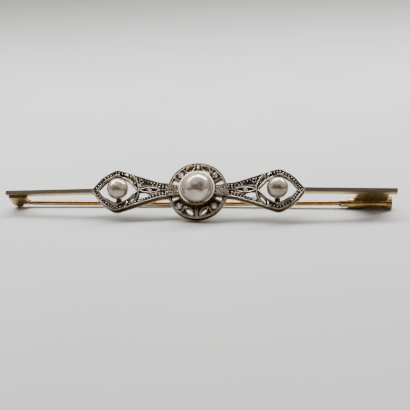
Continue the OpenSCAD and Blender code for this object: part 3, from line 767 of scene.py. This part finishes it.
def kite_lines():
    """Raised lines of a kite: along its edges, on the curved line, round the leaf and on the shoulder."""
    curve = arc(SIDE_PEARL, CURVE_R, 180 - CURVE_HALF, 180 + CURVE_HALF, 40)
    leaf_from = SIDE_PEARL - Vector((CURVE_R, 0))
    leaf_to = leaf_from - Vector((LEAF_LENGTH, 0))
    shapes = [
        wire(curve, r=0.1, height=ON_FACE, flat=FLAT),
        wire(leaf(leaf_from, leaf_to, LEAF_WIDTH - 0.2), r=0.08, height=-0.01, closed=True, flat=FLAT),
        edge_line(depth=0.14, r=0.075, height=ON_FACE, to_y=0.3, flat=FLAT),
        edge_line(depth=0.78, r=0.055, height=GRAIN_HEIGHT, from_x=11.4),
        edge_line(depth=BORDER - 0.07, r=0.07, height=ON_FACE, from_x=13.2, to_y=0.1),
        edge_line(depth=BORDER + 0.08, r=0.22, height=-0.1, from_x=12.4, to_y=-0.6, taper=True),
    ]
    for up, opening_r in ((1, 0.11), (-1, 0.07)):
        motif = arc((MOTIF_X, MOTIF_Y * up), MOTIF_R, 0, 330, 16)
        shoulder = [SIDE_PEARL + polar(CURVE_R - inside, angle * up) for inside, angle in SHOULDER]
        opening = [Vector((x, y * up)) for x, y in OPENING_EDGE]
        shapes += [
            wire(motif, r=0.075, height=-0.08, closed=True),
            wire(shoulder, r=0.13, flat=0.6),
            wire(spaced(opening, 0.2), r=opening_r, height=ON_FACE, flat=0.6),
            vine(nose_side(VINE_INSET, VINE_FROM_X, VINE_TO_X, up)),
        ]
    return shapes


def kite_dark_lines():
    """Painted shade on a kite, in dark metal: along its upper edge, as branches in its nose's openings, and
    as a scroll beside its pearl.
    """
    shapes = [edge_line(depth=0.12, r=0.13, height=-0.04, from_y=-0.2, flat=FLAT)]
    for places, r, height, taper in BRANCHES:
        path = spaced([Vector(place) for place in places], BRANCH_STEP)
        shapes.append(wire(path, r, height, taper=taper))
    scroll = SIDE_PEARL + polar(CURVE_R - 0.5, 144)
    shapes.append(bead(scroll, polar(1, 54), long=0.5, wide=0.2, height=-0.25, tall=0.1))
    return shapes


def rosette_grains():
    """Grains on the rosette: inside its rim, in the grooves of its wing ends and round its stones."""
    rim = arc(MIDDLE, RIM_GRAINS_R, RIM_GRAINS_FROM, RIM_GRAINS_TO, 20)
    groove = [Vector((WING_FROM_X, WING_GROOVE)), Vector((WING_TO_X, WING_GROOVE))]
    quarter = grain_row(rim, RIM_GRAINS_STEP, long=0.1, wide=0.1, height=-RING_STEP - 0.07, tall=0.13)
    quarter += grain_row(groove, WING_STEP, long=0.1, wide=0.15, height=GRAIN_HEIGHT, tall=0.12)
    quarter += stone_grains(CORNER_STONE, CORNER_STONE_R + 0.08, height=-RING_STEP, turn=45)
    return [shape for x in (1, -1) for y in (1, -1) for shape in flipped(quarter, x, y)]


def rosette_lines():
    """Raised lines of the rosette: two rings on its rim, and round its leaf openings."""
    height = ON_FACE - RING_STEP
    shapes = [
        wire(arc(MIDDLE, ROSETTE_R - 0.13, 200, 340, 60), r=0.08, height=height, flat=FLAT),
        ring(RIM_LINE_R, r=0.055, height=height, flat=FLAT),
    ]
    band = BAND_OUT - BAND_IN
    for side, inner_share, inner_angle, outer_share, outer_angle, width in LEAF_OPENINGS:
        inner = polar(BAND_IN + inner_share * band - 0.08, inner_angle)
        outer = polar(BAND_IN + outer_share * band + 0.08, outer_angle)
        outline = leaf(inner, outer, width * band + 0.26)
        line = wire(outline, r=0.075, height=height, closed=True, flat=FLAT)
        shapes += flipped([line], 1, side) + flipped([line], -1, side)
    return shapes


def rosette_bright_lines():
    """Painted highlight: pale lines for the lit edge over the rosette's upper leaf openings, and for the
    stem between them.
    """
    stem = [Vector((0, BAND_IN + 0.6)), Vector((0, BAND_OUT))]
    return [
        wire(arc(MIDDLE, BAND_IN + 0.14, 54, 126, 40), r=0.17, height=-RING_STEP, flat=FLAT),
        wire(stem, r=0.2, height=-RING_STEP, flat=0.5),
    ]


def rosette_dark_lines():
    """Painted shade in dark metal: a line on the rosette's upper rim, and a line in the gap between the
    bezel and its pearl.
    """
    return [
        wire(arc(MIDDLE, ROSETTE_R - 0.1, -15, 195, 80), r=0.12, height=-RING_STEP - 0.03, flat=FLAT),
        ring(BEZEL_R - 0.36, r=0.05, height=BEZEL_TOP + 0.02),
    ]


def bezel_edge():
    """Rounded rim of the bezel."""
    return [ring(BEZEL_R - 0.16, r=0.16, height=BEZEL_TOP - 0.06, flat=FLAT)]


for side, x in (("left", -1), ("right", 1)):
    piece("kite_grains_" + side, flipped(kite_grains(), x), BRIGHT)
    piece("kite_lines_" + side, flipped(kite_lines(), x), BRIGHT)
    piece("kite_dark_lines_" + side, flipped(kite_dark_lines(), x), PAINTED_SHADE_METAL)
piece("rosette_dark_lines", rosette_dark_lines(), PAINTED_SHADE_METAL)
# The bezel's rim and the rosette's bright lines carry the bezel's painted highlight and shade
piece("bezel_edge", bezel_edge(), BEZEL_METAL)
piece("rosette_bright_lines", rosette_bright_lines(), BEZEL_METAL)
piece("rosette_grains", rosette_grains(), BRIGHT)
piece("rosette_lines", rosette_lines(), BRIGHT)


# Camera, fitted to the photograph

# Width of the picture and the focal length, in pixels
IMAGE = 410
FOCAL_PX = 848.4
SENSOR_MM = 36.0
# Turn from the brooch's own frame, in degrees: tilt over the plane of its face, yaw and roll
TILT_FROM_FACE = 68.0
YAW = -5.7124
ROLL = -1.8564
# Where the brooch's middle lies in front of the camera: to the side, up, and away
SHIFT_MM = (-1.3966, 2.7166)
DISTANCE_MM = 150.0


def make_camera():
    """Camera that looks at the brooch from the photograph's side."""
    data = bpy.data.cameras.new("camera")
    data.sensor_width = SENSOR_MM
    data.lens = FOCAL_PX * SENSOR_MM / IMAGE
    data.clip_start = 0.01
    data.clip_end = 20
    turn = (Matrix.Rotation(math.radians(ROLL), 3, "Z")
            @ Matrix.Rotation(math.radians(TILT_FROM_FACE - 90), 3, "X")
            @ Matrix.Rotation(math.radians(YAW), 3, "Y")).transposed()
    place = STANCE @ (turn @ -Vector((*SHIFT_MM, -DISTANCE_MM)))
    camera = bpy.data.objects.new("camera", data)
    camera.matrix_world = Matrix.Translation(place) @ (LEAN @ turn).to_4x4()
    bpy.context.scene.collection.objects.link(camera)
    bpy.context.scene.camera = camera


# Floor and light, in metres

FLOOR_HALF = 2.0
# Lamp over the brooch: its left end is turned towards the viewer, by an angle in degrees in its own plane
LAMP_PLACE = (0.0, 0.105, 0.2)
LAMP_AIM = (0.0, 0.09, 0.0)
LAMP_WIDTH = 0.6
LAMP_DEPTH = 0.06
LAMP_WATTS = 2.95
LAMP_TURN = 16
LAMP_COLOUR = (0.95, 0.98, 1.0)
# Direction of the bright middle of the sky, and the sky's colours from the side opposite to it to it
SKY_MIDDLE = (0, 0.42, 0.9)
SKY = [
    (0.0, (0.03, 0.024, 0.02)),
    (0.45, (0.035, 0.028, 0.024)),
    (0.64, (0.08, 0.07, 0.06)),
    (0.73, (0.27, 0.25, 0.225)),
    (0.80, (0.80, 0.755, 0.695)),
    (0.93, (0.93, 0.885, 0.82)),
    (1.0, (0.97, 0.93, 0.87)),
]
# Light from both sides, and its greatest share over the sky's own
SIDE_LIGHT = (1.3, 1.27, 1.2)
SIDE_SHARE = 0.7


def make_floor():
    """Pale matt surface."""
    material, tree, shader = blank("paper")
    tone = mottled(tree, 25, [(0.3, (0.43, 0.425, 0.415)), (0.7, (0.455, 0.45, 0.44))], detail=2)
    tree.links.new(tone, shader.inputs["Base Color"])
    shader.inputs["Roughness"].default_value = 0.75
    corners = [(x * FLOOR_HALF, y * FLOOR_HALF, 0) for x, y in ((-1, -1), (1, -1), (1, 1), (-1, 1))]
    mesh = bpy.data.meshes.new("floor")
    mesh.from_pydata(corners, [], [(0, 1, 2, 3)])
    mesh.materials.append(material)
    floor = bpy.data.objects.new("floor", mesh)
    bpy.context.scene.collection.objects.link(floor)


def make_lamp():
    """Long soft lamp, a little cool, behind the brooch and over it."""
    data = bpy.data.lights.new("top", "AREA")
    data.shape = "RECTANGLE"
    data.size = LAMP_WIDTH
    data.size_y = LAMP_DEPTH
    data.energy = LAMP_WATTS
    data.color = LAMP_COLOUR
    lamp = bpy.data.objects.new("top", data)
    facing = (Vector(LAMP_AIM) - Vector(LAMP_PLACE)).to_track_quat("-Z", "Y").to_matrix().to_4x4()
    turn = Matrix.Rotation(math.radians(LAMP_TURN), 4, "Z")
    lamp.matrix_world = Matrix.Translation(LAMP_PLACE) @ facing @ turn
    bpy.context.scene.collection.objects.link(lamp)


def make_sky():
    """Pale sky above and behind the brooch, a dark room in front of it, and light from both sides."""
    world = bpy.data.worlds.new("studio")
    world.use_nodes = True
    tree = world.node_tree
    direction = add(tree, "ShaderNodeTexCoord").outputs["Generated"]
    towards = part_along(tree, direction, Vector(SKY_MIDDLE).normalized())
    sky = ramp(tree, spread(tree, towards, -1, 1), SKY)
    parts = add(tree, "ShaderNodeSeparateXYZ")
    tree.links.new(direction, parts.inputs[0])
    aside = spread(tree, calculated(tree, "ABSOLUTE", parts.outputs["X"]), 0.55, 0.85, 0, SIDE_SHARE)
    above = spread(tree, parts.outputs["Z"], 0.05, 0.35)
    background = tree.nodes["Background"]
    background.inputs["Strength"].default_value = 1.0
    tree.links.new(mixed(tree, product(tree, aside, above), sky, SIDE_LIGHT), background.inputs["Color"])
    bpy.context.scene.world = world


make_camera()
make_floor()
make_lamp()
make_sky()
